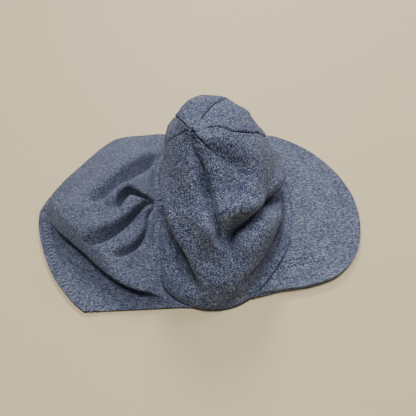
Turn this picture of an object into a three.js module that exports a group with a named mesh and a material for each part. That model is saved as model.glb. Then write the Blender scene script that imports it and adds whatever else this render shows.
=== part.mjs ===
// A toddler's legionnaire cap, as it lies on the floor. Lengths in mm, X toward the peak, Y to the far side, Z up.
import * as THREE from "three";

const CROWN_WALL = 1.6;
const BAND_WALL = 2.4;
const BAND_WIDTH = 8;
const FLAP_WALL = 1.6;
const HEM_WALL = 2.4;
const HEM_WIDTH = 10;
const PEAK_WALL = 3.2;
const SEAM_GAP = 0.4;
const TIP_RADIUS = 2;
const GORE_PUFF = 1.2;

// The lower edge of the rim, a row at each seam and at the middle of each gore, round from the front past the
// near side. lean is the rise of the band in degrees; waist and apex are the direction, seen from above, in
// which the row crosses the crown's waist and reaches its top: the top has slumped and turned.
const RIM = [
  { at: "front seam", x: 75, y: -1, z: 3, lean: 25, waist: -42, apex: -97 },
  { at: "front near gore", x: 66, y: -45, z: 3, lean: 25, waist: -67, apex: -106 },
  { at: "near front seam", x: 38, y: -83, z: 2, lean: 50, waist: -91, apex: -116 },
  { at: "near gore", x: 8, y: -93, z: 1.2, lean: 65, waist: -132, apex: -127 },
  { at: "near back seam", x: -20, y: -80, z: 3, lean: 50, waist: -172, apex: -138 },
  { at: "back near gore", x: -33, y: -46, z: 8, lean: 35, waist: -194, apex: -154 },
  { at: "back seam", x: -31, y: -16, z: 11, lean: 35, waist: -215, apex: -170 },
  { at: "back far gore", x: -38, y: 24, z: 8, lean: 35, waist: -252, apex: -240 },
  { at: "far back seam", x: -27, y: 70, z: 4, lean: 50, waist: -290, apex: -308 },
  { at: "far gore", x: 8, y: 92, z: 1.5, lean: 65, waist: -316, apex: -349 },
  { at: "far front seam", x: 46, y: 80, z: 2, lean: 50, waist: -347, apex: -391 },
  { at: "front far gore", x: 68, y: 42, z: 3, lean: 25, waist: -372, apex: -424 },
];

// Level sections of the crown: where each stands in front, behind, on the near and the far side, how square it
// is, and how far the rows have turned to their waist and apex directions.
const LEVELS = [
  { z: 24, front: 65, back: -31, near: -84, far: 86, power: 2.1, waist: 0.25, apex: 0 },
  { z: 42, front: 57, back: -27, near: -64, far: 73, power: 2.1, waist: 0.65, apex: 0 },
  { z: 58, front: 50, back: -22.5, near: -46, far: 58, power: 2.2, waist: 1, apex: 0 },
  { z: 71, front: 42, back: -19, near: -32, far: 46, power: 2.15, waist: 1, apex: 0.3 },
  { z: 81, front: 30, back: -13, near: -23, far: 33, power: 2.1, waist: 1, apex: 0.7 },
  { z: 86, front: 16, back: -9, near: -19, far: 18, power: 2.1, waist: 1, apex: 1 },
];
const APEX = { x: 0, y: -9.5, z: 87 };
const APEX_KNOT = LEVELS.length + 2;

// Folds of the crown. path runs in rim rows and height knots; crease is how far the cloth sinks along it; roll
// is the swelling that hangs over the crease on one side, at a distance of aside.
const CROWN_FOLDS = [
  {
    at: "near front seam valley", crease: 7, width: 5.5, roll: 2.5, aside: -11, spread: 7,
    path: [[2.15, 6], [2.1, 5.4], [2, 4.6], [1.93, 3.9], [2.08, 3.3], [2.12, 2.9]],
  },
  {
    at: "front near lap", crease: 8.5, width: 5, roll: 4.5, aside: -12, spread: 7.5,
    path: [[-0.4, 2.4], [0.1, 2.6], [0.5, 2.95], [0.9, 3.02], [1.31, 3], [1.69, 2.92], [2.03, 2.66], [2.3, 2.2]],
  },
  {
    at: "near back lap", crease: 8.5, width: 5, roll: 4.5, aside: 12, spread: 7.5,
    path: [[4.7, 2.1], [4.1, 2.1], [3.7, 2.08], [3.4, 2.08], [3.25, 1.9], [3.2, 1.5]],
  },
  {
    at: "front dent", crease: 2.5, width: 8, roll: 0, aside: 10, spread: 8,
    path: [[0.75, 5.8], [0.2, 5.3], [0.12, 4.48], [-0.14, 3.6]],
  },
  {
    at: "back dent", crease: 4, width: 11, roll: 0, aside: 10, spread: 8,
    path: [[6.2, 1.6], [6.3, 3], [6.6, 4.2]],
  },
  {
    at: "far dent", crease: 3, width: 12, roll: 0, aside: 10, spread: 8,
    path: [[9.4, 1.8], [9.2, 3.2], [9, 4.6]],
  },
  {
    at: "far front crease", crease: 3, width: 7, roll: 1.5, aside: 11, spread: 8,
    path: [[10.6, 1.9], [10.5, 2.8], [10.2, 3.8]],
  },
];

// The heights at which the crown's faces are cut, in knots, closer where the folds lie.
const CROWN_ROWS = [
  1, 1.35, 1.68, 1.95, 2.15, 2.35, 2.55, 2.75, 2.95, 3.15, 3.35, 3.55, 3.8, 4.1, 4.5, 4.9, 5.3, 5.7, 6.1, 6.5, 7,
  7.5,
];
const NEAR_COLUMNS = 12;
const FAR_COLUMNS = 10;

const lerp = (a, b, share) => a + (b - a) * share;
const clamp = (value, low, high) => Math.min(high, Math.max(low, value));
const radians = (degrees) => (degrees * Math.PI) / 180;
const smooth = (share) => {
  const s = clamp(share, 0, 1);
  return s * s * (3 - 2 * s);
};
const bell = (distance, width) => Math.exp(-((distance / width) ** 2));

function catmull(a, b, c, d, f) {
  return 0.5 * (2 * b + (c - a) * f + (2 * a - 5 * b + 4 * c - d) * f * f + (3 * b - a - 3 * c + d) * f * f * f);
}

// A value of a closed table at a broken row number.
function around(values, row) {
  const n = values.length;
  const first = Math.floor(row);
  const pick = (k) => values[(((first + k) % n) + n) % n];
  return catmull(pick(-1), pick(0), pick(1), pick(2), row - first);
}

// A value of an open table at a broken row number.
function along(values, row) {
  const last = values.length - 1;
  const first = clamp(Math.floor(row), 0, last - 1);
  const pick = (k) => {
    if (k < 0) return 2 * values[0] - values[1];
    if (k > last) return 2 * values[last] - values[last - 1];
    return values[k];
  };
  return catmull(pick(first - 1), pick(first), pick(first + 1), pick(first + 2), row - first);
}

const column = (table, name) => table.map((row) => row[name]);
const RIM_X = column(RIM, "x");
const RIM_Y = column(RIM, "y");
const RIM_Z = column(RIM, "z");
const RIM_LEAN = column(RIM, "lean");
const ROW_TURN = 360 / RIM.length;
const turned = (name) => RIM.map((row, k) => row[name] + ROW_TURN * k);
const WAIST_TURN = turned("waist");
const APEX_TURN = turned("apex");
const direction = (values, u) => radians(around(values, u) - ROW_TURN * u);

const rimLow = (u) => new THREE.Vector3(around(RIM_X, u), around(RIM_Y, u), around(RIM_Z, u));

// The direction away from the cap, level, at a place of the rim.
function rimOut(u) {
  const step = 0.02;
  const along = rimLow(u + step).sub(rimLow(u - step));
  return new THREE.Vector3(-along.y, along.x, 0).normalize();
}

// The knots of one row of the crown: both edges of the band, the level sections, the apex.
function rowKnots(u) {
  const low = rimLow(u);
  const lean = radians(around(RIM_LEAN, u));
  const top = low.clone().addScaledVector(rimOut(u), -BAND_WIDTH * Math.cos(lean));
  top.z += BAND_WIDTH * Math.sin(lean);
  const waist = direction(WAIST_TURN, u);
  const apex = direction(APEX_TURN, u);
  let start = Math.atan2(top.y / 90, (top.x - 17) / 52);
  start += 2 * Math.PI * Math.round((waist + 0.6 - start) / (2 * Math.PI));
  const knots = [low, top];
  for (const level of LEVELS) {
    const angle = start + (waist - start) * level.waist + (apex - waist) * level.apex;
    const c = Math.cos(angle);
    const s = Math.sin(angle);
    const e = 2 / level.power;
    knots.push(new THREE.Vector3(
      (level.front + level.back) / 2 + ((level.front - level.back) / 2) * Math.sign(c) * Math.abs(c) ** e,
      (level.far + level.near) / 2 + ((level.far - level.near) / 2) * Math.sign(s) * Math.abs(s) ** e,
      level.z,
    ));
  }
  knots.push(new THREE.Vector3(APEX.x, APEX.y, APEX.z));
  return knots;
}

const knotCache = new Map();
function plainCap(u, t) {
  const key = u.toFixed(4);
  if (!knotCache.has(key)) {
    const knots = rowKnots(u);
    knotCache.set(key, [column(knots, "x"), column(knots, "y"), column(knots, "z")]);
  }
  const [xs, ys, zs] = knotCache.get(key);
  return new THREE.Vector3(along(xs, t), along(ys, t), along(zs, t));
}

// The outward normal of a surface given as a function of two values.
function normalAt(surface, a, b, stepA, stepB) {
  const da = surface(a + stepA, b).sub(surface(a - stepA, b));
  const db = surface(a, b + stepB).sub(surface(a, b - stepB));
  return db.cross(da).normalize();
}
const plainNormal = (u, t) => normalAt(plainCap, u, Math.min(t, APEX_KNOT - 0.08), 0.02, 0.03);

const FOLD_LINES = CROWN_FOLDS.map((fold) => {
  const points = [];
  const parts = 6 * (fold.path.length - 1);
  for (let k = 0; k <= parts; k++) {
    const row = (k * (fold.path.length - 1)) / parts;
    points.push(plainCap(along(column(fold.path, 0), row), along(column(fold.path, 1), row)));
  }
  return points;
});

// Where a point lies beside a line of points: its signed distance, and how far along the line, from 0 to 1.
function besideLine(point, normal, line) {
  let best = { distance: Infinity, share: 0 };
  for (let k = 0; k + 1 < line.length; k++) {
    const run = line[k + 1].clone().sub(line[k]);
    const f = clamp(point.clone().sub(line[k]).dot(run) / run.lengthSq(), 0, 1);
    const away = point.clone().sub(line[k]).addScaledVector(run, -f);
    const distance = away.length();
    if (distance < Math.abs(best.distance)) {
      const side = Math.sign(away.dot(normal.clone().cross(run))) || 1;
      best = { distance: distance * side, share: (k + f) / (line.length - 1) };
    }
  }
  return best;
}

function foldHeight(point, normal, fold, line) {
  const { distance, share } = besideLine(point, normal, line);
  const ends = smooth(share / 0.22) * smooth((1 - share) / 0.22);
  const fade = lerp(0.25, 1, ends);
  return fade * (fold.roll * bell(distance - fold.aside, fold.spread) - fold.crease * bell(distance, fold.width));
}

// The outside of the crown, with its puffed gores and its folds.
function crownPoint(u, t) {
  const point = plainCap(u, t);
  const normal = plainNormal(u, t);
  const clear = smooth((t - 1) / 0.5) * smooth((APEX_KNOT - t) / 1.2);
  const gore = (((u / 2) % 1) + 1) % 1;
  let height = GORE_PUFF * Math.sin(Math.PI * gore);
  CROWN_FOLDS.forEach((fold, k) => {
    height += foldHeight(point, normal, fold, FOLD_LINES[k]);
  });
  return point.addScaledVector(normal, clear * height);
}

// A closed solid between two grids of points, which may run round and meet themselves.
function shellSolid(outer, inner, closed) {
  const nu = outer.length;
  const nv = outer[0].length;
  const flat = [...outer.flat(), ...inner.flat()];
  const id = (side, i, j) => side * nu * nv + (i % nu) * nv + j;
  const faces = [];
  const faceNormal = (a, b, c) => flat[b].clone().sub(flat[a]).cross(flat[c].clone().sub(flat[a])).normalize();
  const quad = (a, b, c, d) => faces.push(a, b, c, a, c, d);
  // Cuts a four-sided face along the diagonal that bends it less.
  const softQuad = (a, b, c, d) => {
    const oneWay = faceNormal(a, b, c).dot(faceNormal(a, c, d));
    const otherWay = faceNormal(a, b, d).dot(faceNormal(b, c, d));
    if (oneWay >= otherWay) quad(a, b, c, d);
    else faces.push(a, b, d, b, c, d);
  };
  const spans = closed ? nu : nu - 1;
  for (let i = 0; i < spans; i++) {
    for (let j = 0; j < nv - 1; j++) {
      softQuad(id(0, i, j), id(0, i, j + 1), id(0, i + 1, j + 1), id(0, i + 1, j));
      softQuad(id(1, i, j), id(1, i + 1, j), id(1, i + 1, j + 1), id(1, i, j + 1));
    }
    quad(id(0, i, 0), id(0, i + 1, 0), id(1, i + 1, 0), id(1, i, 0));
    quad(id(0, i, nv - 1), id(1, i, nv - 1), id(1, i + 1, nv - 1), id(0, i + 1, nv - 1));
  }
  if (!closed) {
    for (let j = 0; j < nv - 1; j++) {
      quad(id(0, 0, j), id(1, 0, j), id(1, 0, j + 1), id(0, 0, j + 1));
      quad(id(0, nu - 1, j), id(0, nu - 1, j + 1), id(1, nu - 1, j + 1), id(1, nu - 1, j));
    }
  }
  let volume = 0;
  for (let k = 0; k < faces.length; k += 3) {
    const [a, b, c] = [flat[faces[k]], flat[faces[k + 1]], flat[faces[k + 2]]];
    volume += a.dot(b.clone().cross(c));
  }
  if (volume < 0) {
    for (let k = 0; k < faces.length; k += 3) [faces[k + 1], faces[k + 2]] = [faces[k + 2], faces[k + 1]];
  }
  const geometry = new THREE.BufferGeometry().setFromPoints(flat);
  geometry.setIndex(faces);
  geometry.computeVertexNormals();
  return geometry;
}

// The two sides of a wall laid inside a grid of points.
function wallGrids(points, normals, wall) {
  return points.map((line, i) => line.map((point, j) => point.clone().addScaledVector(normals[i][j], -wall(i, j))));
}

const steps = (from, to, count) => Array.from({ length: count + 1 }, (_, k) => lerp(from, to, k / count));

// Moves the first and the last line of a grid inward, square to the line, to leave a gap at a seam.
function openSeams(points, gap) {
  const last = points.length - 1;
  for (const [edge, next] of [[points[0], points[1]], [points[last], points[last - 1]]]) {
    const moves = edge.map((point, j) => {
      const run = edge[Math.min(j + 1, edge.length - 1)].clone().sub(edge[Math.max(j - 1, 0)]).normalize();
      const across = next[j].clone().sub(point);
      return across.addScaledVector(run, -across.dot(run)).setLength(gap / 2);
    });
    edge.forEach((point, j) => point.add(moves[j]));
  }
}

const CLOTH = new THREE.MeshStandardMaterial({ name: "marl_jersey", color: 0x5f6f92, roughness: 0.95 });
const TRIM = new THREE.MeshStandardMaterial({ name: "marl_jersey_trim", color: 0x586889, roughness: 0.95 });

function piece(name, geometry, material) {
  const mesh = new THREE.Mesh(geometry, material);
  mesh.name = name;
  return mesh;
}

// One gore of the crown, from the top of the band to the apex, between two seams.
function crownGore(name, firstRow, columns) {
  const us = steps(firstRow, firstRow + 2, columns);
  const tip = (u) => {
    const near = plainCap(u, APEX_KNOT - 0.3);
    const reach = near.sub(new THREE.Vector3(APEX.x, APEX.y, APEX.z)).length();
    return APEX_KNOT - (0.3 * TIP_RADIUS) / reach;
  };
  const rowsOf = (u) => [CROWN_ROWS[0] + 0.03, ...CROWN_ROWS.slice(1), tip(u)];
  const points = us.map((u) => rowsOf(u).map((t) => crownPoint(u, t)));
  const normals = us.map((u) => rowsOf(u).map((t) => normalAt(crownPoint, u, Math.min(t, APEX_KNOT - 0.1), 0.05, 0.06)));
  const inner = wallGrids(points, normals, () => CROWN_WALL);
  openSeams(points, SEAM_GAP);
  openSeams(inner, SEAM_GAP);
  return piece(name, shellSolid(points, inner, false), CLOTH);
}

// The band that runs round the rim: a topstitched casing, drawn up by its elastic behind the head.
const NAPE = { row: 6, reach: 0.75, pleats: 5, depth: 0.9 };
function napePleat(u) {
  const aside = (u - NAPE.row) / NAPE.reach;
  if (Math.abs(aside) > 1) return 0;
  return NAPE.depth * Math.cos(aside * Math.PI * NAPE.pleats) * smooth((1 - Math.abs(aside)) / 0.4);
}

function rimBand() {
  const us = [
    ...steps(NAPE.row + NAPE.reach, NAPE.row - NAPE.reach + RIM.length, 78).slice(0, -1),
    ...steps(NAPE.row - NAPE.reach + RIM.length, NAPE.row + NAPE.reach + RIM.length, 36).slice(0, -1),
  ];
  const ts = [0, 0.5, 0.97];
  const lift = [0, 0.5, 0];
  const pleated = [1, 0.8, 0];
  const at = (u, j) => {
    const pleat = napePleat(((u % RIM.length) + RIM.length) % RIM.length);
    return plainCap(u, ts[j]).addScaledVector(plainNormal(u, 0.5), lift[j] + pleated[j] * pleat);
  };
  const points = us.map((u) => ts.map((_, j) => at(u, j)));
  const normals = us.map((u) => ts.map(() => plainNormal(u, 0.5)));
  return piece("rim_band", shellSolid(points, wallGrids(points, normals, () => BAND_WALL), true), TRIM);
}

// The peak: a padded brim sewn under the front of the band. Its outer edge in plan, from the near corner.
const PEAK_EDGE = [
  { x: 39, y: -85.5 }, { x: 57, y: -81.5 }, { x: 79, y: -76 }, { x: 99, y: -66.5 }, { x: 115, y: -48.5 },
  { x: 123.5, y: -24 }, { x: 125, y: 2 }, { x: 119, y: 28 }, { x: 107.5, y: 50 }, { x: 91, y: 69 },
  { x: 70, y: 82.5 }, { x: 47, y: 86 },
];
const PEAK_ROWS = { from: 2.05, to: -2.05 };
const PEAK_LIFT = 2.2;
const PEAK_DOME = 3.5;
const PEAK_COLUMNS = 30;
const PEAK_RINGS = [0, 0.14, 0.3, 0.46, 0.62, 0.76, 0.88, 0.96, 1];

function peak() {
  const us = steps(0, 1, PEAK_COLUMNS);
  const sides = us.map((p) => {
    const u = lerp(PEAK_ROWS.from, PEAK_ROWS.to, p);
    const start = rimLow(u).addScaledVector(rimOut(u), 0.5);
    const row = p * (PEAK_EDGE.length - 1);
    const end = new THREE.Vector3(along(column(PEAK_EDGE, "x"), row), along(column(PEAK_EDGE, "y"), row), 0);
    const depth = smooth(Math.sin(Math.PI * p) * 1.6);
    return PEAK_RINGS.map((q) => {
      const spot = start.clone().lerp(end, q);
      const curl = PEAK_LIFT * smooth((q - 0.55) / 0.45) * (1 - 0.6 * smooth(p * 1.6 - 0.6));
      const dome = PEAK_DOME * depth * bell(q - 0.22, 0.3);
      const under = Math.max(0, lerp(Math.max(0, start.z - 2.2), 0, smooth(q / 0.3)) + 0.35 * dome + curl - 0.9);
      const edge = Math.sqrt(Math.max(0.12, 1 - Math.max(0, (q - 0.86) / 0.14) ** 2));
      const thick = PEAK_WALL * edge;
      const slack = (PEAK_WALL - thick) / 2;
      return {
        top: new THREE.Vector3(spot.x, spot.y, under + slack + thick + 0.65 * dome),
        bottom: new THREE.Vector3(spot.x, spot.y, under + slack),
      };
    });
  });
  const top = sides.map((line) => line.map((spot) => spot.top));
  const bottom = sides.map((line) => line.map((spot) => spot.bottom));
  return piece("peak", shellSolid(top, bottom, false), TRIM);
}

// The neck flap, gathered into the nape and spread on the floor. Its hem in plan, from the near corner; crest is
// the height of the cloth halfway out and hem its height at the edge.
const FLAP_EDGE = [
  { x: -73.5, y: -95, crest: 7, hem: 1.8 },
  { x: -86, y: -85, crest: 10, hem: 1.8 },
  { x: -103, y: -65, crest: 14, hem: 1.8 },
  { x: -117, y: -39, crest: 18, hem: 2.2 },
  { x: -123.5, y: -14, crest: 20, hem: 5 },
  { x: -115, y: 12, crest: 21, hem: 5 },
  { x: -103, y: 37, crest: 20, hem: 4.5 },
  { x: -89, y: 62, crest: 16, hem: 4 },
  { x: -73, y: 79, crest: 11, hem: 3.5 },
  { x: -52, y: 85, crest: 7, hem: 3 },
  { x: -24, y: 90, crest: 4, hem: 2.6 },
];
const FLAP_STATIONS = [0, 0.07, 0.18, 0.32, 0.45, 0.58, 0.7, 0.8, 0.88, 0.95, 1];
const FLAP_ROWS = { from: 3.55, to: 8.45 };
const FLAP_COLUMNS = 40;
const FLAP_RINGS = [0, 0.05, 0.11, 0.18, 0.26, 0.34, 0.42, 0.5, 0.58, 0.66, 0.74, 0.81, 0.87, 0.92, 0.96, 1];

// The edge of the fold that laps over the near strip of the flap, in plan; how high it stands, and over what
// width it comes down to the strip.
const LIP_HEIGHT = 10;
const LIP_STEP = 3.5;
const FLAP_LIP = [
  { x: -122, y: -20 }, { x: -108, y: -36 }, { x: -86, y: -55 }, { x: -61, y: -76.5 }, { x: -36, y: -89 },
  { x: -12, y: -97 },
];
const FLAP_FOLDS = [
  { at: "gather wedge", width: 5.5, depth: 10, path: [[-31, -9], [-41, -3], [-52, 1], [-58, -6]] },
  { at: "long gather valley", width: 5, depth: 9, path: [[-33, -12], [-41, -13], [-51, -19], [-62, -26], [-76, -34]] },
  { at: "seam crease", width: 5, depth: 8, path: [[-35, -22], [-37, -37], [-41, -50], [-54, -56]] },
  { at: "far valley", width: 10, depth: 8, path: [[-36, 42], [-45, 34], [-60, 22], [-72, 8]] },
  { at: "hem dent", width: 9, depth: 3.5, path: [[-96, 24], [-108, 5], [-106, -16]] },
  { at: "middle dent", width: 10, depth: 4, path: [[-70, -12], [-88, -20], [-98, -28]] },
];
const planLine = (path) => path.map(([x, y]) => new THREE.Vector3(x, y, 0));
const FLAP_FOLD_LINES = FLAP_FOLDS.map((fold) => planLine(fold.path));
const LIP_LINE = planLine(FLAP_LIP.map((spot) => [spot.x, spot.y]));
const UP = new THREE.Vector3(0, 0, 1);

function stationRow(p) {
  let k = 0;
  while (k < FLAP_STATIONS.length - 2 && p > FLAP_STATIONS[k + 1]) k++;
  return k + (p - FLAP_STATIONS[k]) / (FLAP_STATIONS[k + 1] - FLAP_STATIONS[k]);
}

// The plan of the flap: a place between the rim and the hem.
function flapPlan(p, q) {
  const u = lerp(FLAP_ROWS.from, FLAP_ROWS.to, p);
  const row = stationRow(clamp(p, 0, 1));
  const start = rimLow(u).addScaledVector(rimOut(u), 0.5);
  const end = new THREE.Vector3(
    along(column(FLAP_EDGE, "x"), row), along(column(FLAP_EDGE, "y"), row), along(column(FLAP_EDGE, "hem"), row),
  );
  return { row, start, end, reach: start.distanceTo(end), level: start.clone().lerp(end, q).setZ(0) };
}

const flapWall = (reach, q) => (reach * (1 - q) < HEM_WIDTH + 0.1 ? HEM_WALL : FLAP_WALL);

function flapPoint(p, q) {
  const { row, start, end, reach, level } = flapPlan(p, q);
  const crest = along(column(FLAP_EDGE, "crest"), row);
  const open = smooth(q / 0.12);
  const middle = Math.sin(Math.PI * clamp(q, 0, 1)) ** 0.8;
  let height = lerp(start.z + 0.8, end.z, smooth(q)) + Math.max(0, crest - 4) * middle;
  FLAP_FOLDS.forEach((fold, k) => {
    const { distance, share } = besideLine(level, UP, FLAP_FOLD_LINES[k]);
    height -= open * fold.depth * bell(distance, fold.width) * smooth((1.15 - share) / 0.4);
  });
  const lip = besideLine(level, UP, LIP_LINE).distance;
  const raised = LIP_HEIGHT * bell(Math.max(0, lip) - 4, 12) * smooth(q / 0.25);
  const floor = flapWall(reach, q) + 0.05;
  height = Math.max(floor, height, raised);
  return level.clone().setZ(lerp(floor, height, smooth((lip + LIP_STEP) / LIP_STEP)));
}

// The rings of one column of the flap, with two of them moved onto the lip and onto its foot.
function flapRings(p) {
  const rings = [...FLAP_RINGS];
  const lipAt = (q) => besideLine(flapPlan(p, q).level, UP, LIP_LINE).distance;
  const crossing = (offset) => steps(0, 1, 200).find((q) => lipAt(q) < offset);
  const edge = crossing(0);
  const foot = crossing(-LIP_STEP);
  if (edge === undefined || foot === undefined || edge < 0.04 || foot > 0.97) return rings;
  let k = 1;
  while (k < rings.length - 3 && rings[k + 1] < edge) k++;
  if (edge - rings[k] > rings[k + 1] - edge && k < rings.length - 4) k++;
  rings[k] = edge;
  rings[k + 1] = Math.min(foot, rings[k + 2] - 0.012);
  return rings;
}

function neckFlap() {
  const ps = steps(0, 1, FLAP_COLUMNS);
  const rings = ps.map(flapRings);
  const points = ps.map((p, i) => rings[i].map((q) => flapPoint(p, q)));
  const normals = ps.map((p, i) => rings[i].map((q) => {
    const normal = normalAt(flapPoint, clamp(p, 0.01, 0.99), clamp(q, 0.01, 0.99), 0.008, 0.008);
    return normal.z < 0 ? normal.negate() : normal;
  }));
  const wall = (i, j) => flapWall(flapPlan(ps[i], 0).reach, rings[i][j]);
  return piece("neck_flap", shellSolid(points, wallGrids(points, normals, wall), false), CLOTH);
}

const cap = new THREE.Group();
cap.name = "legionnaire_cap";
cap.add(
  crownGore("crown_front_near", 0, NEAR_COLUMNS),
  crownGore("crown_side_near", 2, NEAR_COLUMNS),
  crownGore("crown_back_near", 4, NEAR_COLUMNS),
  crownGore("crown_back_far", 6, FAR_COLUMNS),
  crownGore("crown_side_far", 8, FAR_COLUMNS),
  crownGore("crown_front_far", 10, FAR_COLUMNS),
  rimBand(),
  peak(),
  neckFlap(),
);

// The cap's frame starts under the middle of its box, on the floor.
const box = new THREE.Box3().setFromObject(cap, true);
cap.position.set(-(box.min.x + box.max.x) / 2, -(box.min.y + box.max.y) / 2, -box.min.z);

export default cap;
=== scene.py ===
# %% [markdown]
# # A toddler's legionnaire cap, lying on the floor
#
# The cap is sewn from a soft blue marl jersey: six gores make the crown, a narrow band with an elastic runs
# round the rim, a padded peak is sewn to its front and a flap to its back. It has been put down on the
# floor, so the crown has slumped over and the flap has folded. We build it piece by piece around the
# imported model, which says where each piece lies.

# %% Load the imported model
import math

import bpy
import numpy as np
from mathutils import Matrix, Vector, noise


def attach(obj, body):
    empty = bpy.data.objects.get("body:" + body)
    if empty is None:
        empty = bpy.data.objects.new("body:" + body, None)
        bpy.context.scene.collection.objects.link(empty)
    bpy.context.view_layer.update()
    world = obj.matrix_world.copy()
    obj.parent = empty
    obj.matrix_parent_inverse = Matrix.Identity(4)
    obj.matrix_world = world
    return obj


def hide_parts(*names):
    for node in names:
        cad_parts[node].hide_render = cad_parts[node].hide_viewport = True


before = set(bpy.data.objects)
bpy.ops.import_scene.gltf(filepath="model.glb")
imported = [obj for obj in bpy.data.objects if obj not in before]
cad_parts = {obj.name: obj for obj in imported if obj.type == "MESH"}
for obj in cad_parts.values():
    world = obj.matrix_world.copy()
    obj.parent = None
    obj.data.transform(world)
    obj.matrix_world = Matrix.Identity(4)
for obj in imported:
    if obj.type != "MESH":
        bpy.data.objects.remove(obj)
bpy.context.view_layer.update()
MM = 0.001
print("nodes:", sorted(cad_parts))

# %% [markdown]
# ## Camera, floor and light
#
# The camera stands where a person holds a phone over the cap: a quarter of a metre up, looking down at about
# 49 degrees, through a lens as wide as its sensor. The floor is plain and pale, and the light is that of a
# room: a lamp overhead, one beyond the cap, a weaker one to its right, and a soft glow from all round.

# %% Place the camera
CAMERA_PLACE = (0.0071, -0.2206, 0.250)
CAMERA_PITCH = 48.73
LENS = 36.0

camera_data = bpy.data.cameras.new("camera")
camera_data.lens = LENS
camera_data.sensor_width = LENS
camera_data.clip_start = 0.01
camera = bpy.data.objects.new("camera", camera_data)
camera.location = CAMERA_PLACE
camera.rotation_euler = (math.radians(90 - CAMERA_PITCH), 0, 0)
bpy.context.collection.objects.link(camera)
bpy.context.scene.camera = camera
print("camera at", CAMERA_PLACE)

# %% Lay the floor
FLOOR_SIZE = 6.0
FLOOR_COLOUR = (0.67, 0.545, 0.325, 1)
FLOOR_ROUGHNESS = 0.7


def deselect_all():
    """An operator acts on all that is selected, so each step starts with nothing selected."""
    bpy.ops.object.select_all(action="DESELECT")


def plain_material(name, colour, roughness):
    material = bpy.data.materials.new(name)
    material.use_nodes = True
    shader = material.node_tree.nodes["Principled BSDF"]
    shader.inputs["Base Color"].default_value = colour
    shader.inputs["Roughness"].default_value = roughness
    return material


deselect_all()
bpy.ops.mesh.primitive_plane_add(size=FLOOR_SIZE, location=(0, 0, 0))
floor = bpy.context.object
floor.name = "floor"
floor.data.materials.append(plain_material("pale_floor", FLOOR_COLOUR, FLOOR_ROUGHNESS))

# %% Hang the lights
# Places and sizes in metres, powers in watts.
LAMPS = [
    {"name": "ceiling_lamp", "place": (-0.12, -0.04, 1.48), "size": 0.5, "power": 17.5},
    {"name": "far_lamp", "place": (0.0, 1.35, 1.05), "size": 0.4, "power": 17.0},
    {"name": "side_lamp", "place": (0.9, 0.55, 1.0), "size": 0.4, "power": 6.5},
]
ROOM_GLOW = 0.14
ROOM_COLOUR = (0.92, 0.96, 1.0, 1)


def hang_lamp(name, place, size, power):
    """A square lamp that points at the middle of the floor."""
    data = bpy.data.lights.new(name, "AREA")
    data.energy = power
    data.size = size
    lamp = bpy.data.objects.new(name, data)
    lamp.location = place
    lamp.rotation_euler = (-Vector(place)).to_track_quat("-Z", "Y").to_euler()
    bpy.context.collection.objects.link(lamp)


for row in LAMPS:
    hang_lamp(**row)
world = bpy.data.worlds.new("room")
world.use_nodes = True
background = world.node_tree.nodes["Background"]
background.inputs["Color"].default_value = ROOM_COLOUR
background.inputs["Strength"].default_value = ROOM_GLOW
bpy.context.scene.world = world
print("lamps:", [row["name"] for row in LAMPS])

# %% [markdown]
# ## Curves through short tables
#
# A soft cap has no straight lines, but a few measured rows and a smooth curve through them say all of it.
# We use Catmull-Rom curves: they pass through every row of a table. Working on whole arrays at once keeps
# the script quick even with a fine mesh.


# %% Smooth curves through table rows
def catmull(a, b, c, d, f):
    """The smooth curve from b to c, at a share f of the way."""
    return 0.5 * (2 * b + (c - a) * f + (2 * a - 5 * b + 4 * c - d) * f**2 + (3 * b - a - 3 * c + d) * f**3)


def around(values, rows):
    """Values of a closed table at broken row numbers."""
    values = np.asarray(values, float)
    first = np.floor(rows).astype(int)
    a, b, c, d = (values[(first + k) % len(values)] for k in (-1, 0, 1, 2))
    return catmull(a, b, c, d, rows - first)


def along(values, rows):
    """Values of an open table, of numbers or of points, at broken row numbers."""
    values = np.asarray(values, float)
    last = len(values) - 1
    ends = np.concatenate([2 * values[:1] - values[1:2], values, 2 * values[-1:] - values[-2:-1]])
    first = np.clip(np.floor(rows).astype(int), 0, last - 1)
    a, b, c, d = (ends[first + k] for k in range(4))
    f = (rows - first).reshape(np.shape(rows) + (1,) * (values.ndim - 1))
    return catmull(a, b, c, d, f)


def smooth(share):
    """From 0 to 1 along an S, and level beyond."""
    share = np.clip(share, 0, 1)
    return share * share * (3 - 2 * share)


def bell(distance, width):
    """1 at no distance, about a third at the width, and nothing far off."""
    return np.exp(-((distance / width) ** 2))


def table(names, rows):
    """A table's rows, each with its columns under their names."""
    return [dict(zip(names.split(), row)) for row in rows]


def column(rows, name):
    return np.array([row[name] for row in rows], float)


def shares(columns, rings):
    """A grid's shares of the way from 0 to 1, along the rim and away from it."""
    return np.meshgrid(np.linspace(0, 1, columns), np.linspace(0, 1, rings), indexing="ij")


def line_length(points):
    return float(np.linalg.norm(np.diff(points, axis=0), axis=1).sum())


# %% [markdown]
# ## The lie of the crown
#
# The rim is a row of points on the floor, one at each seam and one in the middle of each gore. Above it the
# crown is cut by level sections. Because the top has slumped to one side and turned, each row says in which
# direction it crosses the waist and the top. All numbers are millimetres or degrees. Nearly all are the ones
# that the solids are made from, and the rest differ by a little, so the fine mesh lies where the solids lie.

# %% The rim and the level sections
# From the tables' origin to the frame's, in mm.
TABLE_SHIFT = np.array([-0.865, 1.371, 0.0])
BAND_WIDTH = 8.0
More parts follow.
